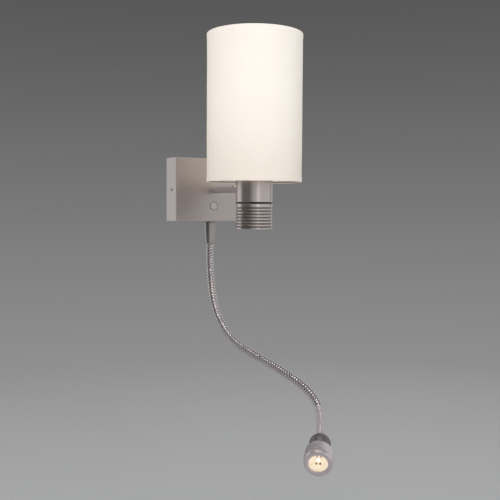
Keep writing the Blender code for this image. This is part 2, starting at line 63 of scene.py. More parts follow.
# Flexible neck, as in the frame
NECK_ROUTE = [
    (0, -20, -81), (0, -20, -114), (0, -26, -151), (0, -38, -184), (7, -63, -217),
    (22, -92, -236), (39, -123, -248), (52, -155, -262), (63, -187, -276),
    (67.5, -215, -297.5), (53.1, -232.1, -323.5),
]
NECK_RADIUS = 5.8
JOINTS = 8
FIRST_JOINT = 20.0
JOINT_SPACING = 41.0
BLEND_REACH = 18.0           # distance each side of a joint's centre at which the neck's points are read, not used further
SLEEVE_START = 328.0
RIB_PITCH = 4.2
RIB_DEPTH = 0.7
RIB_ROWS = 10                # rings for each rib
NECK_SIDES = 32

# Reading head, measured from its ball joint's centre
HEAD_AIM = Vector((-0.614, -0.735, -0.288)).normalized()
PIVOT_FROM_NECK_END = 18.6
SLEEVE_SEAT = 12.9
DOME_RADIUS = 14.5
BALL_RADIUS = 11.5
BELL_REAR = 16.4
BELL_FRONT = 44.0
BELL_RADIUS = 19.3
BELL_CAVITY = 16.8
BEZEL_SEAT = 39.0
APERTURE_RADIUS = 12.5

# Shade
SHADE_SKIN = 0.9
CLOTH_THICKNESS = 0.5
HEM = 5.5                    # width of the cloth turned in at both rims
HEM_THICKNESS = 0.35
SEAM_WIDTH = 10.0            # overlap where the fabric's ends meet, on the wall side
SEAM_STEP = 0.45
SEAM_RADIUS = 65.0
SHADE_WAVES = 0.16           # how far the cloth is from a true cylinder
BRIGHT_SIDE = 43.7           # degrees left of straight out: where the painted glow on the cloth is strongest
SHADE_GLOW = 1.38
SHADE_DIM = 0.54             # share of the painted glow on the sides where it is weakest

# Camera and light
CAMERA_PLACE = (-0.5556, -1.0350, -0.0242)
CAMERA_YAW = 31.72           # degrees right of straight at the wall
CAMERA_PITCH = 3.28          # degrees down
CAMERA_ROLL = 0.32
CAMERA_LENS = 54.9
FLOOR_Z = -0.75


# ---- shape helpers

def place(origin, axis=UP):
    """Matrix that stands a shape made along +Z at origin (mm), along axis."""
    turn = UP.rotation_difference(Vector(axis).normalized())
    return Matrix.Translation(Vector(origin) * MM) @ turn.to_matrix().to_4x4()


def span(node):
    """Lowest and highest corner of a CAD node, in mm."""
    low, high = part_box(node)
    return low / MM, high / MM


def middle_of(node):
    low, high = span(node)
    return (low + high) / 2


def upright(node):
    """Axis point, radius, bottom and top of a turned CAD node that stands along Z, in mm."""
    low, high = span(node)
    return Vector(((low.x + high.x) / 2, (low.y + high.y) / 2, 0)), (high.x - low.x) / 2, low.z, high.z


def add_object(name, data):
    made = bpy.data.objects.new(name, data)
    bpy.context.scene.collection.objects.link(made)
    return made


def finish_mesh(name, bm, material, matrix=None, sharp=32.0):
    """Turn a bmesh made in mm into a piece with welded points and outward faces."""
    bmesh.ops.remove_doubles(bm, verts=bm.verts, dist=0.002)
    bmesh.ops.recalc_face_normals(bm, faces=bm.faces)
    if bm.calc_volume(signed=True) < 0:
        bmesh.ops.reverse_faces(bm, faces=bm.faces)
    bmesh.ops.scale(bm, vec=(MM, MM, MM), verts=bm.verts)
    if matrix:
        bmesh.ops.transform(bm, matrix=matrix, verts=bm.verts)
    mesh = bpy.data.meshes.new(name)
    bm.to_mesh(mesh)
    bm.free()
    mesh.shade_smooth()
    mesh.set_sharp_from_angle(angle=radians(sharp))
    mesh.materials.append(material)
    piece = add_object(name, mesh)
    piece.modifiers.new("normals", "WEIGHTED_NORMAL").keep_sharp = True
    return piece


def skin(name, rings, material, matrix=None, loop=False, sharp=32.0, reach=None):
    """Surface through rings of points; UV runs round each ring and, in metres, along them."""
    bm = bmesh.new()
    uv = bm.loops.layers.uv.new("UVMap")
    rows = [[bm.verts.new(point) for point in ring] for ring in rings]
    count = len(rings[0])
    if reach is None:
        reach = [0.0]
        for a, b in zip(rings, rings[1:] + rings[:1]):
            reach.append(reach[-1] + (Vector(b[0]) - Vector(a[0])).length * MM)
    for i in range(len(rows) if loop else len(rows) - 1):
        near, far = rows[i], rows[(i + 1) % len(rows)]
        for j in range(count):
            k = (j + 1) % count
            face = bm.faces.new((near[j], near[k], far[k], far[j]))
            corners = ((j, i), (j + 1, i), (j + 1, i + 1), (j, i + 1))
            for corner, (column, row) in zip(face.loops, corners):
                corner[uv].uv = (column / count, reach[row])
    return finish_mesh(name, bm, material, matrix, sharp)


def rounded(points, radius, steps=3, closed=True):
    """Outline with its corners rounded off, by no more than its short edges allow."""
    points = [Vector(p) for p in points]
    result = []
    for i, corner in enumerate(points):
        if not closed and i in (0, len(points) - 1):
            result.append(corner)
            continue
        back, ahead = points[i - 1] - corner, points[(i + 1) % len(points)] - corner
        if back.angle(ahead) > radians(155):
            result.append(corner)
            continue
        cut = min(radius, 0.45 * back.length, 0.45 * ahead.length)
        start, end = corner + back.normalized() * cut, corner + ahead.normalized() * cut
        for k in range(steps + 1):
            t = k / steps
            result.append(start * (1 - t) ** 2 + corner * (2 * t * (1 - t)) + end * t * t)
    return result


def polar(radius, angle, height):
    """Point round the Z axis."""
    return radius * cos(angle), radius * sin(angle), height


def circle(radius, height=0.0, sides=96, turn=0.0):
    """Points of a level ring; turn is where the first one is, as a share of their spacing."""
    return [polar(radius, tau * (j + turn) / sides, height) for j in range(sides)]


def hoop(centre, side, other, radius, sides):
    """Ring in the plane of side and other; radius is a number or a function of the angle."""
    angles = [tau * j / sides for j in range(sides)]
    radii = [radius(a) if callable(radius) else radius for a in angles]
    return [centre + (side * cos(a) + other * sin(a)) * r for a, r in zip(angles, radii)]


def turned(name, profile, material, matrix, sides=96, edge=0.25):
    """Spin a profile of (radius, height) in mm; edge is how far its corners are rounded."""
    closed = profile[0][0] > 0
    outline = rounded(profile, edge, closed=closed) if edge else profile
    rings = [circle(radius, height, sides) for radius, height in outline]
    return skin(name, rings, material, matrix, loop=closed)


def arc(radius, start, stop, steps, across=0.0, height=0.0):
    """(radius, height) points on a circle, angles in degrees above the equator."""
    points = []
    for i in range(steps + 1):
        angle = radians(start + (stop - start) * i / steps)
        points.append((across + radius * cos(angle), height + radius * sin(angle)))
    return points


def combine(piece, tools, operation="DIFFERENCE"):
    """Apply a boolean with each tool, a cut by default, and keep the result as the piece's mesh."""
    piece.modifiers.clear()
    for tool in tools:
        boolean = piece.modifiers.new(tool.name, "BOOLEAN")
        boolean.operation = operation
        boolean.solver = "EXACT"
        boolean.object = tool
    bpy.context.view_layer.update()
    shown = piece.evaluated_get(bpy.context.evaluated_depsgraph_get())
    piece.modifiers.clear()
    piece.data = bpy.data.meshes.new_from_object(shown)
    for tool in tools:
        bpy.data.objects.remove(tool)
    piece.data.set_sharp_from_angle(angle=radians(32))
    piece.modifiers.new("normals", "WEIGHTED_NORMAL").keep_sharp = True


def block(size, middle):
    """Box in mm."""
    bm = bmesh.new()
    bmesh.ops.create_cube(bm, size=1.0, matrix=Matrix.Diagonal((*size, 1.0)))
    bmesh.ops.translate(bm, vec=middle, verts=bm.verts)
    return bm


def cutter(name, radius, start, end, sides=64):
    """Rod from start to end, to cut a hole with."""
    start, end = Vector(start), Vector(end)
    bm = bmesh.new()
    bmesh.ops.create_cone(bm, cap_ends=True, segments=sides, radius1=radius, radius2=radius,
                          depth=(end - start).length)
    return finish_mesh(name, bm, bpy.data.materials[0], place((start + end) / 2, end - start))


def capped(rings):
    """Rings with one more at each end, shrunk to a point, that closes them."""
    middles = [sum((Vector(p) for p in ring), Vector()) / len(ring) for ring in (rings[0], rings[-1])]
    first, last = ([middle] * len(rings[0]) for middle in middles)
    return [first, *rings, last]


def prism(name, outline, low, high, material, matrix=None):
    """Closed outline of (x, y) points in mm, extruded from low to high."""
    rings = [[(x, y, height) for x, y in outline] for height in (low, high)]
    return skin(name, capped(rings), material, matrix)


def join(name, pieces):
    """Make several pieces into one."""
    bm = bmesh.new()
    for piece in pieces:
        bm.from_mesh(piece.data)
    material = pieces[0].data.materials[0]
    for piece in pieces:
        bpy.data.objects.remove(piece)
    bmesh.ops.scale(bm, vec=(1 / MM, 1 / MM, 1 / MM), verts=bm.verts)
    return finish_mesh(name, bm, material)


def stand_for(piece, body, slot, *nodes):
    """The piece moves with body and is shown in place of any CAD nodes named; slot is not used."""
    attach(piece, body)
    if nodes:
        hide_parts(*nodes)


# ---- material helpers

def feed(tree, socket, value):
    """Link a node's output to a socket, or set the socket's own number or colour."""
    if isinstance(value, bpy.types.NodeSocket):
        tree.links.new(value, socket)
    else:
        socket.default_value = (*value, 1.0) if socket.type == "RGBA" and len(value) == 3 else value


def node(tree, kind, inputs=None, **options):
    made = tree.nodes.new("ShaderNode" + kind)
    for name, value in options.items():
        setattr(made, name, value)
    for key, value in (inputs or {}).items():
        feed(tree, made.inputs[key], value)
    return made


def calculate(tree, operation, a, b=0.0):
    return node(tree, "Math", {0: a, 1: b}, operation=operation).outputs[0]


def blend_colours(tree, share, a, b, kind="MIX"):
    mix = node(tree, "Mix", {"Factor": share, 6: a, 7: b}, data_type="RGBA", blend_type=kind)
    return mix.outputs[2]


def grain(tree, source, scale, detail=3.0):
    """Noise from 0 to 1; scale, for each axis or all, is cycles per metre or per turn of U."""
    scale = scale if isinstance(scale, tuple) else (scale,) * 3
    where = node(tree, "TexCoord").outputs[source]
    mapped = node(tree, "Mapping", {"Vector": where, "Scale": scale})
    inputs = {"Vector": mapped.outputs[0], "Scale": 1.0, "Detail": detail, "Roughness": 0.55}
    return node(tree, "TexNoise", inputs).outputs[0]


def split(tree, source):
    """Three outputs with the parts of a texture coordinate."""
    return node(tree, "SeparateXYZ", {0: node(tree, "TexCoord").outputs[source]}).outputs


def ranged(tree, value, low, high, start=0.3, stop=0.7):
    made = node(tree, "MapRange", {"Value": value, "From Min": start, "From Max": stop,
                                   "To Min": low, "To Max": high})
    return made.outputs[0]


def set_shader(material, **inputs):
    """Give the shader's inputs, named with underscores, a value or a node's output."""
    tree = material.node_tree
    for name, value in inputs.items():
        feed(tree, tree.nodes["Principled BSDF"].inputs[name.replace("_", " ")], value)
    return material


def own_colour(material):
    """Node output that colours a material."""
    return material.node_tree.nodes["Principled BSDF"].inputs["Base Color"].links[0].from_socket


def gradient(tree, share, colours):
    """Ramp through (position, colour) pairs, of which the first is at 0 and the last at 1."""
    ramp = node(tree, "ValToRGB", {"Fac": share})
    stops = ramp.color_ramp.elements
    stops[0].color, stops[1].color = (*colours[0][1], 1), (*colours[-1][1], 1)
    for position, colour in colours[1:-1]:
        stops.new(position).color = (*colour, 1)
    return ramp.outputs[0]


def new_material(name):
    material = bpy.data.materials.new(name)
    material.use_nodes = True
    return material


def vectors(tree, operation, a, b=(0, 0, 0)):
    """Vector or, for a length or a dot product, the number that vector maths gives."""
    outputs = node(tree, "VectorMath", {0: a, 1: b}, operation=operation).outputs
    return outputs["Value" if operation in ("LENGTH", "DOT_PRODUCT") else "Vector"]


def from_axis(tree, axis):
    """Level distance vector of a point from an upright axis, in metres."""
    where = node(tree, "TexCoord").outputs["Object"]
    return vectors(tree, "MULTIPLY", vectors(tree, "SUBTRACT", where, (*(axis.xy * MM), 0)), (1, 1, 0))


def paint_shade_where(material, share, dark):
    """Paint shade: blend a material's own colour, where share is 1, with a darker one, where it is 0."""
    colour = blend_colours(material.node_tree, share, dark, own_colour(material))
    return set_shader(material, Base_Color=colour)


def surface(name, dark, light, rough, metallic=0.0, source="Object", fine=900,
            broad=25, bump=0.02, depth=0.0001, **constants):
    """Material whose colour, roughness and relief vary with a fine grain and broad patches."""
    material = new_material(name)
    tree = material.node_tree
    fine_noise = grain(tree, source, fine)
    broad_noise = grain(tree, source, broad, detail=2.0)
    share = calculate(tree, "MULTIPLY", calculate(tree, "ADD", fine_noise, broad_noise), 0.5)
    colour = blend_colours(tree, ranged(tree, share, 0, 1, 0.35, 0.65), dark, light)
    roughness = ranged(tree, share, rough[0], rough[1], 0.35, 0.65)
    relief = node(tree, "Bump", {"Height": fine_noise, "Strength": bump, "Distance": depth})
    return set_shader(material, Base_Color=colour, Roughness=roughness, Normal=relief.outputs[0],
                      Metallic=metallic, **constants)


def glow(material, colour, strength):
    """Let a material give off light, with a colour that may be a node's output."""
    return set_shader(material, Emission_Color=colour, Emission_Strength=strength)


# ---- finishes

NICKEL_DARK = (0.53, 0.475, 0.455)
NICKEL_LIGHT = (0.60, 0.545, 0.525)


def brushed_nickel():
    """Satin plate on the box, brushed from side to side."""
    return surface("brushed_nickel", (0.46, 0.415, 0.40), (0.52, 0.47, 0.455), (0.34, 0.42), 1.0,
                   fine=(60, 1500, 1500), broad=(9, 14, 14), bump=0.05, depth=0.00005)


def turned_nickel(name="turned_nickel", rough=(0.31, 0.37), bump=0.03, dark=NICKEL_DARK,
                  light=NICKEL_LIGHT):
    """Satin nickel with fine rings round a turned piece."""
    return surface(name, dark, light, rough, 1.0, source="UV", fine=(2, 2500, 1),
                   broad=(3, 40, 1), bump=bump, depth=0.00005)


def knob_nickel(axis, deep, proud):
    """Turned nickel with painted shade at the bottom of the grooves."""
    material = turned_nickel("knob_nickel", (0.27, 0.32))
    tree = material.node_tree
    radius = vectors(tree, "LENGTH", from_axis(tree, axis))
    # painted shade: the colour darkens from the fins' faces down to the groove bottoms
    clear_of_knob_groove_shade = ranged(tree, radius, 0, 1, deep * MM, proud * MM)
    return paint_shade_where(material, clear_of_knob_groove_shade, (0.27, 0.245, 0.235))


def soft_nickel(name, rough, metallic, dark, light):
    """Satin plate on the neck and the reading head."""
    return surface(name, dark, light, rough, metallic, source="UV", fine=(20, 700, 1),
                   broad=(4, 25, 1), depth=0.00004)


def wound_nickel():
    """Plated winding of the neck, with painted shade in the groove between its turns."""
    material = soft_nickel("neck_nickel", (0.20, 0.26), 1.0, (0.58, 0.525, 0.535), (0.68, 0.62, 0.63))
    tree = material.node_tree
    around, along = split(tree, "UV")[:2]
    turns = calculate(tree, "MULTIPLY", along, 1 / (RIB_PITCH * MM))
    turns = calculate(tree, "FRACT", calculate(tree, "SUBTRACT", turns, around))
    from_crest = calculate(tree, "SUBTRACT", calculate(tree, "MULTIPLY", turns, 2.0), 1.0)
    # painted shade: the colour darkens from each crest into the groove
    clear_of_neck_groove_shade = ranged(tree, calculate(tree, "ABSOLUTE", from_crest), 1, 0, 0.45, 0.92)
    return paint_shade_where(material, clear_of_neck_groove_shade, (0.36, 0.33, 0.33))


def zinc():
    """Bright zinc plate with its crystal patches."""
    material = surface("zinc_plate", (0.52, 0.53, 0.53), (0.68, 0.69, 0.68), (0.32, 0.5), 1.0,
                       fine=700, broad=60, bump=0.05)
    tree = material.node_tree
    where = node(tree, "TexCoord").outputs["Object"]
    cells = node(tree, "TexVoronoi", {"Vector": where, "Scale": 260.0})
    patches = ranged(tree, cells.outputs["Distance"], 0, 1, 0.1, 0.9)
    colour = blend_colours(tree, patches, (0.50, 0.52, 0.53), (0.70, 0.71, 0.70))
    return set_shader(material, Base_Color=colour)


def brass():
    return surface("brass", (0.60, 0.44, 0.20), (0.74, 0.57, 0.29), (0.26, 0.42), 1.0,
                   fine=1100, broad=80, bump=0.04)


def dark_cap():
    return surface("dark_cap", (0.19, 0.175, 0.18), (0.23, 0.215, 0.22), (0.42, 0.52), 0.5,
                   source="UV", fine=(60, 2500, 1), broad=(4, 60, 1), bump=0.06)


def black_ring():
    return surface("black_ring", (0.008, 0.007, 0.007), (0.02, 0.018, 0.018), (0.45, 0.6),
                   source="UV", fine=(80, 2500, 1), broad=(5, 50, 1), bump=0.04)


def rubber():
    return surface("rubber", (0.014, 0.013, 0.013), (0.035, 0.033, 0.032), (0.65, 0.85),
                   fine=1500, broad=120, bump=0.15)


def moulded(name, dark, light):
    """Moulded plastic with a fine spark-eroded texture."""
    return surface(name, dark, light, (0.36, 0.5), fine=2600,
                   broad=40, bump=0.12, Specular_IOR_Level=0.45)


def shade_fabric(circumference):
    """Plain-weave lampshade cloth, to which a painted glow for the bulb behind it is added."""
    material = new_material("shade_fabric")
    tree = material.node_tree
    along, up = split(tree, "UV")[:2]
    thread = 0.00062
    wobble = ranged(tree, grain(tree, "UV", (40, 220, 1)), -0.9, 0.9)
    warp = calculate(tree, "MULTIPLY", along, tau * circumference / thread)
    weft = calculate(tree, "MULTIPLY", up, tau / thread)
    warp = calculate(tree, "SINE", calculate(tree, "ADD", warp, wobble))
    weft = calculate(tree, "SINE", calculate(tree, "ADD", weft, wobble))
    over = calculate(tree, "MULTIPLY", warp, weft)
    ridges = calculate(tree, "ADD", calculate(tree, "ABSOLUTE", warp), calculate(tree, "ABSOLUTE", weft))
    height = calculate(tree, "ADD", calculate(tree, "MULTIPLY", over, 0.35), ridges)
    slubs = grain(tree, "UV", (160, 30, 1), detail=4.0)
    cross_slubs = grain(tree, "UV", (12, 700, 1), detail=4.0)
    slub = calculate(tree, "MULTIPLY", calculate(tree, "ADD", slubs, cross_slubs), 0.5)
    weave = ranged(tree, height, 0, 1, 0.2, 2.2)
    cloth = blend_colours(tree, weave, (0.47, 0.45, 0.42), (0.58, 0.56, 0.53))
    cloth = blend_colours(tree, ranged(tree, slub, 0.0, 0.35, 0.42, 0.62), cloth, (0.61, 0.59, 0.57))
    relief = node(tree, "Bump", {"Height": height, "Strength": 0.25, "Distance": 0.00012})
    return set_shader(material, Base_Color=cloth, Roughness=ranged(tree, slub, 0.78, 0.95),
                      Normal=relief.outputs[0], Sheen_Weight=0.12, Specular_IOR_Level=0.25)


def paint_glow_from_inside(material, axis, low, high):
    """Painted glow of the shade's cloth for the bulb inside: strongest high up, at its bright side and
    across from it.
    """
    tree = material.node_tree
    height = ranged(tree, split(tree, "Object")[2], 0, 1, low * MM, high * MM)
    painted_glow_by_height = gradient(tree, height, (
        (0, (0.80, 0.74, 0.67)), (0.12, (0.84, 0.785, 0.715)), (0.35, (0.95, 0.895, 0.825)),
        (0.6, (1.0, 0.955, 0.895)), (1, (1.0, 0.95, 0.90))))
    light = blend_colours(tree, 1.0, own_colour(material), painted_glow_by_height, "MULTIPLY")
    # painted light: round the shade the glow is strongest at BRIGHT_SIDE and across from it, weaker
    # between
    bearing = radians(BRIGHT_SIDE)
    front = (-sin(bearing), -cos(bearing), 0)
    facing = vectors(tree, "DOT_PRODUCT", vectors(tree, "NORMALIZE", from_axis(tree, axis)), front)
    ahead = ranged(tree, facing, SHADE_DIM, 1.0, 0, 1)
    behind = ranged(tree, facing, 1.0, SHADE_DIM, -0.8, -0.25)
    share = calculate(tree, "MAXIMUM", ahead, behind)
    return glow(material, blend_colours(tree, 1.0, light, share, "MULTIPLY"), SHADE_GLOW)


def opal_glass():
    material = surface("opal_glass", (0.88, 0.86, 0.80), (0.94, 0.92, 0.87), (0.16, 0.24),
                       fine=600, broad=30, bump=0.01)
    tree = material.node_tree
    cloud = ranged(tree, grain(tree, "Object", 35), 0, 1)
    return glow(material, blend_colours(tree, cloud, (1.0, 0.87, 0.72), (1.0, 0.92, 0.80)), 9.0)


def lens_glass():
    return surface("lens_glass", (0.96, 0.96, 0.95), (1.0, 1.0, 0.99), (0.01, 0.04), fine=500,
                   broad=40, bump=0.01, IOR=1.45, Transmission_Weight=1.0)


def reflector_metal():
    """Satin coated cup with a painted glow for the LED's light inside it."""
    material = surface("reflector", (0.70, 0.62, 0.50), (0.82, 0.75, 0.64), (0.40, 0.52), 0.4,
                       source="UV", fine=(30, 900, 1), broad=(6, 80, 1), bump=0.03)
    tree = material.node_tree
    patches = ranged(tree, grain(tree, "UV", (9, 160, 1)), 0, 1, 0.36, 0.62)
    # painted light: patchy glow over the cup and the core's stem
    return glow(material, blend_colours(tree, patches, (0.78, 0.62, 0.46), (1.0, 0.94, 0.82)), 0.52)


def led_phosphor():
    material = surface("led_yellow", (0.90, 0.72, 0.25), (0.98, 0.84, 0.40), (0.35, 0.5),
                       fine=2500, broad=300, bump=0.1)
    return glow(material, (1.0, 0.93, 0.78), 0.9)


def collimator_core():
    # painted light: the optic's core glows as if lit by the LED behind it
    material = surface("collimator_core", (0.95, 0.92, 0.85), (0.99, 0.97, 0.92), (0.2, 0.3),
                       fine=1500, broad=200, bump=0.05)
    return glow(material, (1.0, 0.97, 0.88), 1.1)


# ---- neck's centre line

class Centreline:
    """Uniform cubic B-spline over control points, read by distance along it in mm."""

    STEPS = 40

    def __init__(self, controls):
        points = [Vector(p) for p in controls]
        first = points[0] * 2 - points[1]
        last = points[-1] * 2 - points[-2]
        padded = [first, *points, last]
        self.points = []
        for start in range(len(points) - 1):
            for step in range(self.STEPS):
                self.points.append(self.blend(padded[start:start + 4], step / self.STEPS))
        self.points.append(points[-1])
        self.distance = [0.0]
        for a, b in zip(self.points, self.points[1:]):
            self.distance.append(self.distance[-1] + (b - a).length)
        self.length = self.distance[-1]

    @staticmethod
    def blend(four, t):
        weights = ((1 - t) ** 3, 3 * t ** 3 - 6 * t * t + 4,
                   -3 * t ** 3 + 3 * t * t + 3 * t + 1, t ** 3)
        return sum((p * w for p, w in zip(four, weights)), Vector()) / 6

    def at(self, distance):
        """Point at a distance; straight on past either end."""
        i = min(max(bisect_right(self.distance, distance) - 1, 0), len(self.points) - 2)
        length = self.distance[i + 1] - self.distance[i]
        return self.points[i].lerp(self.points[i + 1], (distance - self.distance[i]) / length)

    def direction(self, distance):
        reach = 2.0
        low = max(distance - reach, 0.0)
        high = min(max(distance + reach, reach), self.length)
        return (self.at(high) - self.at(low)).normalized()

    def frames(self, distances):
        """Point, direction and two side vectors at each distance, without twist between them."""
        side = Vector((1, 0, 0))
        made = []
        for distance in distances:
            ahead = self.direction(distance)
            side = (side - ahead * side.dot(ahead)).normalized()
            made.append((self.at(distance), ahead, side, ahead.cross(side)))
        return made


NECK = Centreline(NECK_ROUTE)
NECK_END = NECK.at(NECK.length)
NECK_AIM = NECK.direction(NECK.length)
HEAD_PIVOT = NECK_END + NECK_AIM * PIVOT_FROM_NECK_END
HEAD_SEAT = place(HEAD_PIVOT, HEAD_AIM)


# ---- wall box

def make_cover(metal):
    low, high = span("box_cover")
    wall, front, hole = 1.5, 2.0, 0.5
    size = high - low
    bm = block(size, (low + high) / 2)
    edges = [e for e in bm.edges if min(v.co.y for v in e.verts) < low.y + 0.01]
    bmesh.ops.bevel(bm, geom=edges, offset=0.7, segments=4, profile=0.5, affect="EDGES",
                    clamp_overlap=True)
    cover = finish_mesh("cover_shell", bm, metal)
    space = (size.x - 2 * wall, size.y - front + 5, size.z - 2 * wall)
    middle = Vector((0, (low.y + front + high.y + 5) / 2, (low.z + high.z) / 2))
    tools = [finish_mesh("inside", block(space, middle), metal)]
    button_low, button_high = span("push_button")
    button_z = (button_low.z + button_high.z) / 2
    button_hole = (button_high.x - button_low.x) / 2 + hole
    screw = middle_of("cover_screw_left")
    neck_y = NECK_ROUTE[0][1]
    for name, radius, start, end in (
            ("arm_hole", 4.3, (0, low.y - 3, 0), (0, low.y + 5, 0)),
            ("button_hole", button_hole, (0, low.y - 3, button_z), (0, low.y + 5, button_z)),
            ("neck_hole", 5.3, (0, neck_y, low.z - 3), (0, neck_y, low.z + 4)),
            ("side_holes", 2.1, (low.x - 3, screw.y, screw.z), (high.x + 3, screw.y, screw.z))):
        tools.append(cutter(name, radius, start, end))
    combine(cover, tools)
    stand_for(cover, "wall_unit", "nickel", "box_cover")


def make_bracket(metal):
    """Pressed plate with two folded tabs, slots for the wall screws and a cable hole."""
    low, high = span("wall_bracket")
    plate, tab_depth, tab_height, corner = 2.0, -low.y, 9.0, 5.0
    slot_x, slot_length, slot_width = 44.0, 12.0, 5.0
    cable_z, screw_y = middle_of("cable_grommet").z, middle_of("cover_screw_left").y
    face = [(low.x, low.z), (high.x, low.z), (high.x, high.z), (low.x, high.z)]
    flat = Matrix.Rotation(pi / 2, 4, "X")
    bracket = prism("bracket_plate", rounded(face, corner, 8), 0, plate, metal, flat)
    fold = [(low.x, 0), (high.x, 0), (high.x, -tab_depth), (high.x - plate, -tab_depth),
            (high.x - plate, -plate), (low.x + plate, -plate), (low.x + plate, -tab_depth),
            (low.x, -tab_depth)]
    channel = prism("fold", rounded(fold, 1.4, 4), -tab_height, tab_height, metal)
    combine(bracket, [channel], "UNION")
    tools = [cutter("cable_hole", 6.3, (0, 3, cable_z), (0, -5, cable_z)),
             cutter("tab_holes", 2.1, (low.x - 3, screw_y, 0), (high.x + 3, screw_y, 0))]
    for side in (-1, 1):
        slot = [(side * slot_x + x * slot_length / 2, z * slot_width / 2)
                for x, z in ((-1, -1), (1, -1), (1, 1), (-1, 1))]
        tools.append(prism(f"slot_{side}", rounded(slot, slot_width / 2, 8), -3, 5, metal, flat))
    combine(bracket, tools)
    stand_for(bracket, "wall_unit", "zinc_steel", "wall_bracket")


def make_cover_screws(metal):
    """Low button heads with a hexagon socket."""
    for side, word in ((-1, "left"), (1, "right")):
        middle = middle_of(f"cover_screw_{word}")
        middle.x = span("box_cover")[side > 0].x
        seat = place(middle, (side, 0, 0))
        dome = [(2.6, 0.3), (2.6, 0.55), (2.45, 0.85), (2.1, 1.02), (1.6, 1.1), (0, 1.1)]
        profile = [(0, -6.8), (1.6, -6.8), (1.6, 0.3), *dome]
        screw = turned(f"screw_{word}", profile, metal, seat, sides=48, edge=0)
        socket = cutter(f"socket_{word}", 1.35, (0, 0, 0.25), (0, 0, 2), sides=6)
        socket.matrix_world = seat
        combine(screw, [socket])
        stand_for(screw, "wall_unit", "zinc_steel", f"cover_screw_{word}")


def make_button(metal):
    low, high = span("push_button")
    radius = (high.x - low.x) / 2
    seat = place((0, low.y, (low.z + high.z) / 2), -OUT)
    profile = [(0, 0.12), (radius - 3, 0.08), (radius - 1.2, 0.0), (radius - 0.35, 0.06),
               (radius, 0.4), (radius, 5.5), (2.5, 5.5), (2.5, 14.5), (0, 14.5)]
    stand_for(turned("button_cap", profile, metal, seat, edge=0.12), "button", "nickel", "push_button")


# ---- arm, body and knob

def wall_piece(name, outline, material, axis, slot, *nodes, **options):
    """Turned piece that stands upright on axis and never moves."""
    stand_for(turned(name, outline, material, place(axis), **options), "wall_unit", slot, *nodes)


def make_arm(metal):
    """Tube with a threaded spigot at each end."""
    low, high = span("arm")
    radius, bore, spigot = (high.x - low.x) / 2, 2.5, 4.0
    shoulder, end = span("box_cover")[0].y - 0.05, low.y + 8.3
    outline = [(bore, -high.y), (spigot, -high.y), (spigot, -shoulder), (radius, -shoulder),
               (radius, -end), (spigot, -end), (spigot, -low.y), (bore, -low.y)]
    arm = turned("arm_tube", outline, metal, place((0, 0, 0), OUT), sides=64, edge=0.2)
    stand_for(arm, "wall_unit", "nickel", "arm")


def make_lamp_body(metal):
    axis, radius, low, high = upright("lamp_body")
    bore, top = 21.5, 3.0
    shell = [(radius, low), (radius, high), (5.3, high), (5.3, high - top), (bore, high - top),
             (bore, low)]
    body = turned("body_shell", shell, metal, place(axis), sides=144, edge=0.5)
    arm_radius = (span("arm")[1].x - span("arm")[0].x) / 2
    seat = cutter("arm_seat", arm_radius + 0.1, axis - OUT * 22.3, axis - OUT * 30)
    way = cutter("arm_way", 4.3, axis - OUT * 15, axis - OUT * 30)
    combine(body, [seat, way])
    stand_for(body, "wall_unit", "nickel_body", "lamp_body")


def make_gap_ring(black):
    axis, radius, low, high = upright("shadow_gap_ring")
    ring = [(5.1, low), (radius - 0.1, low), (radius - 0.1, high), (5.1, high)]
    wall_piece("gap_ring", ring, black, axis, "black_ring", "shadow_gap_ring", sides=144)


def make_knob():
    """Seven round-bottomed grooves with flat fins between them, under a plain land."""
    axis, radius, low, high = upright("knob")
    grooves, first, pitch, width, depth = 7, 5.6, 4.27, 2.1, 1.4
    edge, root = 0.25, radius - depth
    outline = [(0, low)]
    for i in reversed(range(grooves)):
        bottom = high - first - pitch * i - width / 2
        foot = low if i == grooves - 1 else bottom - (pitch - width)
        outline += [(radius - edge, foot), (radius, foot + edge)]
        outline += [(radius, bottom - edge), (radius - edge, bottom)]
        curve = ((0.4, 0.15), (0.1, 0.5), (0, 0.85))
        outline += [(root + rise, bottom + inset) for rise, inset in curve]
        outline += [(root + rise, bottom + width - inset) for rise, inset in reversed(curve)]
    land = high - first + width / 2
    outline += [(radius - edge, land), (radius, land + edge), (radius, high - edge),
                (radius - edge, high)]
    outline += [(19, high), (19, -50), (6, -50), (6, -24.5), (3.3, -24.5), (3.3, -47), (0, -47)]
    metal = knob_nickel(axis, root + 0.5, radius - 0.4)
    knob = turned("knob_grip", outline, metal, place(axis), sides=160, edge=0)
    stand_for(knob, "knob", "nickel_knob", "knob")


# ---- lampholder and bulb

def make_lampholder(plastic):
    axis, radius, low, high = upright("lampholder")
    skirt, bore = 19.0, 14.0
    thread_low, thread_high, pitch = 38.0, 60.0, 2.75
    outline = [(5.3, low), (14, low), (14, 29), (radius, 31), (radius, 33), (skirt - 0.6, 33)]
    turns = int((thread_high - thread_low) / pitch)
    for i in range(turns):
        start = thread_low + pitch * i
        outline += [(skirt - 0.6, start), (skirt, start + 0.7), (skirt, start + 1.3),
                    (skirt - 0.6, start + 2.0)]
    outline += [(skirt - 0.6, high), (bore, high), (bore, 34), (5.3, 34)]
    wall_piece("lampholder_shell", outline, plastic, axis, "white_plastic", "lampholder", edge=0.3)


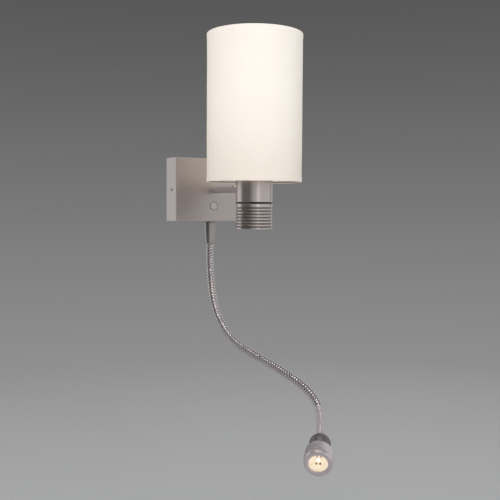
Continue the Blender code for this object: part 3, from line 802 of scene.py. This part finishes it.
def make_bulb(metal, glass):
    axis, _, low, high = upright("bulb_cap")
    thread_low, pitch, turns = 50.0, 2.8, 6
    cap = [(0, low), (4.3, low), (5.2, 43), (10.6, 46.5), (12.2, 48.5)]
    for i in range(turns):
        start = thread_low + pitch * i
        cap += [(12.2, start), *[(12.2 + 0.75 * sin(pi * k / 6), start + 2.4 * k / 6)
                                 for k in range(1, 6)], (12.2, start + 2.4)]
    cap += [(13.0, high - 1.5), (13.0, high), (0, high)]
    wall_piece("bulb_cap_thread", cap, metal, axis, "bulb_cap", "bulb_cap", edge=0)
    axis, radius, low, high = upright("bulb_glass")
    neck = 13.6
    swell = high - radius
    outside = []
    for i in range(25):
        t = i / 24
        ease = t * t * (3 - 2 * t)
        outside.append((neck + (radius - 0.3 - neck) * ease, low + (swell - low) * t))
    outside += arc(radius - 0.3, 0, 90, 20, height=swell)[1:-1]
    inside = [(r - 1.0, h) for r, h in outside]
    wall = [(0, high - 1.3), *reversed(inside), *outside, (0, high - 0.3)]
    wall_piece("bulb_globe", wall, glass, axis, "bulb_glass", "bulb_glass", edge=0)


# ---- shade

def smooth(value, low, high):
    """0 below low, 1 above high, eased between."""
    t = min(max((value - low) / (high - low), 0.0), 1.0)
    return t * t * (3 - 2 * t)


def shade_offset(angle, height, total):
    """How far the cloth stands out from the shade's plain cylinder at a place on it, in mm."""
    near = min(height, total - height)
    hem = HEM_THICKNESS * (1 - smooth(near, HEM - 0.25, HEM + 0.25))
    lip = -0.45 * (1 - smooth(near, 0.0, 0.45))
    along = (angle - pi / 2) * SEAM_RADIUS
    seam = SEAM_STEP * smooth(along, -SEAM_WIDTH / 2 - 0.3, -SEAM_WIDTH / 2 + 0.3)
    seam *= 1 - smooth(along, SEAM_WIDTH / 2 - 1, SEAM_WIDTH / 2 + 4)
    point = Vector((cos(angle) * 2.2, sin(angle) * 2.2, height / 45.0))
    return hem + lip + seam + SHADE_WAVES * noise.noise(point)


def make_shade(cloth):
    axis, radius, low, high = upright("shade_skin")
    total = high - low
    edge = [0, 0.12, 0.3, 0.5, 1.2, 3.0, HEM - 0.4, HEM - 0.15, HEM, HEM + 0.15, HEM + 0.4, 7.0]
    middle = [7 + (total - 14) * i / 46 for i in range(1, 46)]
    heights = edge + middle + [total - h for h in reversed(edge)]
    plain = [tau * i / 180 for i in range(180)]
    fine = [pi / 2 + (SEAM_WIDTH * (i / 20 - 0.5) * 1.2) / radius for i in range(21)]
    angles = sorted({round(a, 5) for a in plain + fine})
    outside = [[polar(radius - 0.05 + shade_offset(a, h, total), a, h) for a in angles]
               for h in heights]
    inside = [[polar(radius - CLOTH_THICKNESS, a, h) for a in angles] for h in heights]
    shade = skin("shade_cloth", outside + inside[::-1], cloth, place(axis + UP * low), loop=True,
                 sharp=60.0)
    stand_for(shade, "wall_unit", "shade_fabric", "shade_skin")


def make_liner(styrene):
    """Plastic sheet that the cloth is laminated to."""
    axis, radius, low, high = upright("shade_skin")
    inner, outer, inset = radius - SHADE_SKIN, radius - CLOTH_THICKNESS - 0.03, 0.4
    ring = [(inner, low + inset), (outer, low + inset), (outer, high - inset), (inner, high - inset)]
    wall_piece("shade_liner", ring, styrene, axis, "white_plastic", "shade_skin", sides=180, edge=0.15)


def wire_ring(name, radius, wire, height, metal, axis):
    profile = arc(wire, 0, 337.5, 15, radius, height)
    return turned(name, profile, metal, place(axis), sides=144, edge=0)


def tube(name, points, radius, material, sides=16):
    """Round bar along a list of points, closed at both ends."""
    rings = []
    side = UP.orthogonal()
    for i, point in enumerate(points):
        ahead = (points[min(i + 1, len(points) - 1)] - points[max(i - 1, 0)]).normalized()
        side = (side - ahead * side.dot(ahead)).normalized()
        rings.append(hoop(point, side, ahead.cross(side), radius, sides))
    return skin(name, capped(rings), material)


def make_shade_wires(metal):
    axis, outer, low, high = upright("shade_fitter")
    wire = 1.4
    ring_radius = outer - wire
    parts = [wire_ring("fitter_ring", ring_radius, wire, low + wire, metal, axis)]
    hub = [(20.3, high - 2), (25.5, high - 2), (25.5, high), (20.3, high)]
    parts.append(turned("fitter_hub", hub, metal, place(axis), edge=0.5))
    for number, heading in enumerate((90, 210, 330)):
        ray = Vector(polar(1, radians(heading), 0))
        start, end = axis + ray * 24.5 + UP * (high - 1), axis + ray * ring_radius + UP * (low + wire)
        parts.append(tube(f"spoke_{number}", [start.lerp(end, i / 12) for i in range(13)], 1.3, metal))
    stand_for(join("fitter_wires", parts), "wall_unit", "white_wire", "shade_fitter")
    axis, outer, low, high = upright("shade_top_ring")
    top = wire_ring("top_ring", outer - wire, wire, (low + high) / 2, metal, axis)
    stand_for(top, "wall_unit", "white_wire", "shade_top_ring")


# ---- flexible neck

def make_ferrule(metal):
    low, high = span("neck_ferrule")
    base = span("box_cover")[0].z
    x, y, end = NECK_ROUTE[0]
    bore, rim = NECK_RADIUS + 0.15, (high.x - low.x) / 2
    cone = [(2.6, high.z), (4.9, high.z), (4.9, base - 0.1), (6.8, base - 0.1), (6.8, base - 2),
            (rim, base - 2), (rim, base - 12), (NECK_RADIUS + 1.7, end + 5), (NECK_RADIUS + 0.7, end),
            (bore, end), (bore, end + 4), (2.6, end + 4)]
    wall_piece("ferrule", cone, metal, (x, y, 0), "nickel", "neck_ferrule", edge=0.4)


def rib(distance, turn):
    """Radius of the wound neck: round ribs with a narrow groove between them, on a helix."""
    phase = (distance / RIB_PITCH - turn / tau) % 1.0
    return NECK_RADIUS - 0.1 - RIB_DEPTH * abs(2 * phase - 1) ** 2


def neck_rings(start, stop):
    """Rings of the wound neck from start to stop, and where each is in mm along it."""
    spacing = RIB_PITCH / RIB_ROWS
    first, last = ceil(start / spacing + 0.01), floor(stop / spacing - 0.01)
    wanted = [start, *[i * spacing for i in range(first, last + 1)], stop]
    lead = [i * spacing for i in range(0, first)]
    framed = NECK.frames(lead + wanted)[len(lead):]
    rings = []
    for distance, (centre, _, side, other) in zip(wanted, framed):
        rings.append(hoop(centre, side, other, lambda turn: rib(distance, turn), NECK_SIDES))
    return rings, wanted


def make_neck(metal):
    """One wound piece round each joint, meeting the next one halfway to the next joint."""
    half = JOINT_SPACING / 2
    for number in range(1, JOINTS + 1):
        joint = FIRST_JOINT + JOINT_SPACING * (number - 1)
        start = -3.5 if number == 1 else joint - half
        stop = SLEEVE_START + 2 if number == JOINTS else joint + half
        rings, along = neck_rings(start, stop)
        reach = [distance * MM for distance in (start, *along, stop)]
        piece = skin(f"neck_winding_{number}", capped(rings), metal, sharp=70.0, reach=reach)
        NECK.at(joint - BLEND_REACH) * MM
        NECK.at(joint + BLEND_REACH) * MM
        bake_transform(piece)
        nodes = [f"neck_segment_{number}"] + (["neck_root"] if number == 1 else [])
        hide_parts(*nodes)


def make_sleeve(metal):
    """Plain sleeve over the neck's last stretch, into the head's dome."""
    steps = 40
    stretch = NECK.length - SLEEVE_START
    lead = [SLEEVE_START * i / 60 for i in range(60)]
    along = [SLEEVE_START + stretch * i / steps for i in range(steps + 1)]
    framed = NECK.frames(lead + along)[len(lead):]
    tip = HEAD_PIVOT - NECK_AIM * SLEEVE_SEAT
    framed.append((tip, *framed[-1][1:]))

    def loop(entry, radius, shift=0.0):
        centre, ahead, side, other = entry
        return hoop(centre + ahead * shift, side, other, radius, NECK_SIDES)

    radius, bore = NECK_RADIUS, NECK_RADIUS - 0.6
    lip = ((bore + 0.1, 3), (bore + 0.1, 0), (radius - 0.3, 0), (radius - 0.1, 0.08), (radius, 0.3))
    rings = [loop(framed[0], size, shift) for size, shift in lip]
    rings += [loop(entry, radius) for entry in framed[1:]]
    rings.append(loop(framed[-1], 2.6))
    rings += [loop(entry, 2.6) for entry in reversed(framed[6:-1])]
    piece = skin("neck_sleeve", rings, metal, loop=True, sharp=40.0)
    stand_for(piece, "neck_8", "nickel", "neck_end_sleeve")


# ---- reading head

def head_piece(name, outline, material, slot, *nodes, **options):
    """Turned piece on the head's axis."""
    stand_for(turned(name, outline, material, HEAD_SEAT, **options), "head", slot, *nodes)


def make_head_dome(metal):
    skirt, cavity, recess = 4.0, BALL_RADIUS + 0.3, NECK_RADIUS + 0.15
    top = -degrees(acos(recess / DOME_RADIUS))
    low = degrees(asin(skirt / DOME_RADIUS))
    low_inside = degrees(asin(skirt / cavity))
    top_inside = -degrees(acos(2.4 / cavity))
    profile = [*arc(DOME_RADIUS, low, top, 40), (recess, -SLEEVE_SEAT + 0.3),
               (2.4, -SLEEVE_SEAT + 0.3), *arc(cavity, top_inside, low_inside, 24)]
    dome = turned("head_dome", profile, metal, place(HEAD_PIVOT, NECK_AIM))
    stand_for(dome, "swivel", "dark_cap", "head_socket")


def make_bell(metal):
    """Ball, stem and turned bell, with three fine lines round its side."""
    bore, stem, fillet, shoulder, rear = 2.2, 5.0, 1.6, 4.5, 18.6
    mouth, back, chamfer = BELL_CAVITY + 0.1, BELL_REAR + 2.6, 3.6
    ball = arc(BALL_RADIUS, -degrees(acos(bore / BALL_RADIUS)),
               degrees(acos(stem / BALL_RADIUS)), 28)
    flare = [(stem, BELL_REAR), *arc(shoulder, -90, 0, 8, rear - shoulder, BELL_REAR + shoulder)]
    line, first, pitch = 0.3, 25.5, 5.0
    widening = (BELL_RADIUS - rear) / (BELL_FRONT - chamfer - BELL_REAR)
    side = []
    for i in range(3):
        height = first + pitch * i
        radius = rear + widening * (height - BELL_REAR)
        side += [(radius, height - line), (radius - 0.3, height), (radius, height + line)]
    nose = [(BELL_RADIUS, BELL_FRONT - chamfer),
            *arc(fillet, 25, 90, 8, mouth + 0.1, BELL_FRONT - fillet)]
    outside = [*flare, *side, *nose, (mouth, BELL_FRONT)]
    inside = [(mouth, BEZEL_SEAT), (BELL_CAVITY - 0.4, BEZEL_SEAT), (BELL_CAVITY - 0.4, back),
              (bore, back)]
    head_piece("bell_shell", ball + outside + inside, metal, "nickel_head", "head_bell", sides=128,
               edge=0)


def make_bezel(metal):
    """Flat ring in the bell's mouth, with a small step round the window."""
    rim, front, back = BELL_CAVITY - 0.05, BELL_FRONT - 0.02, BELL_FRONT - 1.8
    ring = [(APERTURE_RADIUS, front - 0.9), (APERTURE_RADIUS + 0.5, front - 0.35),
            (APERTURE_RADIUS + 1.3, front), (rim, front), (rim, BEZEL_SEAT + 0.3),
            (rim - 0.9, BEZEL_SEAT + 0.3), (rim - 0.9, back), (APERTURE_RADIUS, back)]
    head_piece("bezel_ring", ring, metal, "nickel_head", "front_bezel", sides=128, edge=0.1)


def make_lens(glass, bright, brown):
    """Front window, the collimator's core behind it with a painted glow, and the core's two brown clips.
    """
    window = [(0, 40.9), (15.7, 40.9), (15.7, 41.4), (12.5, 41.6), (8, 41.8), (0, 41.9)]
    head_piece("lens", window, glass, "lens_glass", "front_glass", edge=0.1)
    core = [(0, 33.0), (1.6, 33.0), (2.0, 33.6), *arc(2.0, 0, 88, 10, height=34.4)]
    head_piece("collimator_core", core, bright, "led_yellow", sides=48, edge=0)
    across = HEAD_AIM.cross(UP).normalized()
    clip = [(0, 38.2), (0.9, 38.2), (1.3, 38.6), (1.3, 40.2), (0.9, 40.6), (0, 40.6)]
    for side, word in ((-1, "left"), (1, "right")):
        spot = place(HEAD_PIVOT + across * 2.4 * side + across.cross(HEAD_AIM) * -1.9, HEAD_AIM)
        piece = turned(f"core_clip_{word}", clip, brown, spot, sides=32, edge=0)
        stand_for(piece, "head", "led_yellow")


def make_reflector(metal):
    """Cup of flat facets, in rows that widen towards the front."""
    sides, rows, wall = 24, 6, 0.35
    throat, mouth, back, depth = 4.6, 14.5, 24.3, 14.6
    rings = []
    for i in range(rows + 1):
        t = i / rows
        radius, height = throat + (mouth - throat) * t ** 0.8, back + depth * t ** 1.35
        rings.append(circle(radius, height, sides, 0.5 * (i % 2)))
    thin = 1 - wall / 9
    inner = [[(x * thin, y * thin, z + wall) for x, y, z in ring] for ring in rings]
    cup = skin("reflector_cup", inner + rings[::-1], metal, HEAD_SEAT, loop=True, sharp=5.0)
    stand_for(cup, "head", "reflector", "reflector")
    stem = [(0, 24.8), (1.2, 24.8), (1.2, 33.2), (0, 33.2)]
    head_piece("core_stem", stem, metal, "reflector", sides=32, edge=0.1)


def make_led(phosphor, board):
    dome = [(0, 21.1), (3.6, 21.1), (3.6, 22.0), *arc(3.1, 0, 88, 12, height=22.0)]
    head_piece("led_dome", dome, phosphor, "led_yellow", "led_emitter", sides=48, edge=0.1)
    disc = [(0, 19.4), (16.1, 19.4), (16.1, 20.8), (0, 20.8)]
    head_piece("led_star", disc, board, "white_plastic", "led_board", edge=0.15)


# ---- kept CAD nodes

def finish_kept_nodes(finishes):
    """New materials on the CAD nodes whose shape stays."""
    for material, slot, names in finishes:
        for name in names:
            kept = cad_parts[name]
            kept.material_slots[0].material = material


# ---- stage

def make_world():
    """Grey backdrop that lightens downwards; other rays see a dim even room."""
    world = bpy.data.worlds.new("studio")
    bpy.context.scene.world = world
    world.use_nodes = True
    tree = world.node_tree
    tree.nodes.clear()
    lowest, highest = -0.40, 0.30
    height = ranged(tree, split(tree, "Generated")[2], 0, 1, lowest, highest)
    tones = ((lowest, 0.385), (-0.31, 0.337), (-0.25, 0.301), (-0.186, 0.270), (-0.057, 0.2135),
             (0.009, 0.184), (0.137, 0.133), (0.198, 0.113), (0.245, 0.100), (highest, 0.096))
    greys = [((sine - lowest) / (highest - lowest), (tone,) * 3) for sine, tone in tones]
    backdrop = node(tree, "Background", {"Color": gradient(tree, height, greys)})
    room = node(tree, "Background", {"Color": (0.95, 0.98, 1), "Strength": 0.13})
    seen = node(tree, "LightPath").outputs["Is Camera Ray"]
    mixed = node(tree, "MixShader", {0: seen, 1: room.outputs[0], 2: backdrop.outputs[0]})
    node(tree, "OutputWorld", {"Surface": mixed.outputs[0]})


def make_floor():
    """Pale round floor that fades out with distance."""
    solid, end = 0.9, 2.7
    material = surface("pale_floor", (0.80, 0.80, 0.80), (0.84, 0.84, 0.84), (0.7, 0.85),
                       fine=300, broad=2, Specular_IOR_Level=0.2)
    tree = material.node_tree
    distance = vectors(tree, "LENGTH", node(tree, "TexCoord").outputs["Object"])
    set_shader(material, Alpha=ranged(tree, distance, 1, 0, solid, end - 0.1))
    disc = skin("floor", [circle(end / MM * i / 12) for i in range(13)], material)
    disc.location = (0, -0.15, FLOOR_Z)


def softbox(name, bearing, elevation, distance, size, radiance):
    """Rectangular light aimed at the lamp; bearing is degrees to the right of the camera."""
    target = Vector((0, -0.14, -0.03))
    turn, rise = radians(bearing - CAMERA_YAW), radians(elevation)
    away = Vector((sin(turn) * cos(rise), -cos(turn) * cos(rise), sin(rise)))
    data = bpy.data.lights.new(name, "AREA")
    data.shape = "RECTANGLE"
    data.size, data.size_y = size
    data.energy = radiance * pi * size[0] * size[1]
    lamp = add_object(name, data)
    lamp.location = target + away * distance
    lamp.rotation_euler = (-away).to_track_quat("-Z", "Y").to_euler()
    lamp.visible_camera = False


def make_lights():
    far = 2.7
    softbox("left_box", -113, 4, far, (2.5, 3.4), 0.76)
    softbox("key_strip", 27, 4, far, (0.5, 3.4), 1.6)
    softbox("front_fill", 3, 4, far + 0.3, (2.0, 3.4), 0.42)
    softbox("right_box", 80, 4, far, (5.2, 3.4), 0.60)
    softbox("rear_box", 162, 10, far + 0.9, (3.6, 3.4), 0.60)
    softbox("top_box", 60, 82, 1.8, (1.6, 1.6), 0.7)
    softbox("high_key", -20, 62, 2.4, (0.5, 0.5), 13.0)


def make_camera():
    data = bpy.data.cameras.new("camera")
    data.lens = CAMERA_LENS
    data.sensor_width = 36.0
    data.clip_start, data.clip_end = 0.02, 50.0
    camera = add_object("camera", data)
    yaw, pitch, roll = (radians(a) for a in (CAMERA_YAW, CAMERA_PITCH, CAMERA_ROLL))
    aim = Matrix.Rotation(-yaw, 4, "Z") @ Matrix.Rotation(pi / 2 - pitch, 4, "X")
    camera.matrix_world = Matrix.Translation(CAMERA_PLACE) @ aim @ Matrix.Rotation(roll, 4, "Z")
    bpy.context.scene.camera = camera


# ---- all of it

def main():
    box_metal, ring_metal = brushed_nickel(), turned_nickel()
    head_metal = soft_nickel("head_nickel", (0.29, 0.36), 0.55, (0.70, 0.62, 0.635), (0.80, 0.71, 0.73))
    # painted shade: the ferrule under the box gets a darker copy of the turned nickel
    ferrule_shaded_nickel = turned_nickel("ferrule_nickel", (0.30, 0.36), 0.03, (0.35, 0.325, 0.315),
                                (0.41, 0.38, 0.37))
    plated = zinc()
    white = moulded("white_plastic", (0.78, 0.77, 0.74), (0.86, 0.85, 0.82))
    # painted shade: the liner's dark warm tan stands for the dim inside of the lampshade
    liner = moulded("liner_styrene", (0.40, 0.34, 0.27), (0.46, 0.40, 0.33))
    dark = moulded("dark_plastic", (0.035, 0.035, 0.038), (0.06, 0.06, 0.064))
    brown = moulded("brown_clip", (0.40, 0.24, 0.09), (0.54, 0.34, 0.15))
    wire = surface("white_wire", (0.78, 0.77, 0.74), (0.87, 0.86, 0.83), (0.35, 0.5),
                   broad=60, bump=0.08, Coat_Weight=0.2)
    make_bracket(plated)
    make_cover(box_metal)
    make_cover_screws(plated)
    make_button(ring_metal)
    make_arm(soft_nickel("arm_nickel", (0.10, 0.15), 0.9, (0.74, 0.73, 0.73), (0.82, 0.81, 0.81)))
    make_lamp_body(ring_metal)
    make_gap_ring(black_ring())
    make_knob()
    make_lampholder(white)
    make_bulb(plated, opal_glass())
    axis, radius, low, high = upright("shade_skin")
    make_shade(paint_glow_from_inside(shade_fabric(tau * radius * MM), axis, low, high))
    make_liner(liner)
    make_shade_wires(wire)
    make_ferrule(ferrule_shaded_nickel)
    make_neck(wound_nickel())
    make_sleeve(soft_nickel("sleeve_nickel", (0.46, 0.52), 0.35, (0.58, 0.52, 0.53), (0.66, 0.59, 0.60)))
    make_head_dome(dark_cap())
    make_bell(head_metal)
    make_bezel(head_metal)
    make_lens(lens_glass(), collimator_core(), brown)
    make_reflector(reflector_metal())
    make_led(led_phosphor(), white)
    finish_kept_nodes((
        (plated, "zinc_steel", ("switch_clip", "switch_plate")),
        (brass(), "brass", ("arm_nut_front", "arm_nut_rear", "contact_tongue", "dimmer_nut",
                            "dimmer_shaft", "earth_terminal", "ferrule_nut", "nipple",
                            "nipple_nut")),
        (white, "white_plastic", ("contact_insert", "shade_lock_ring", "terminal_block")),
        (dark, "dark_plastic", ("dimmer_module", "led_driver", "push_switch_body")),
        (rubber(), "rubber", ("cable_grommet",)),
    ))
    make_world()
    make_floor()
    make_lights()
    make_camera()
    bpy.context.scene.view_settings.view_transform = "Standard"


main()
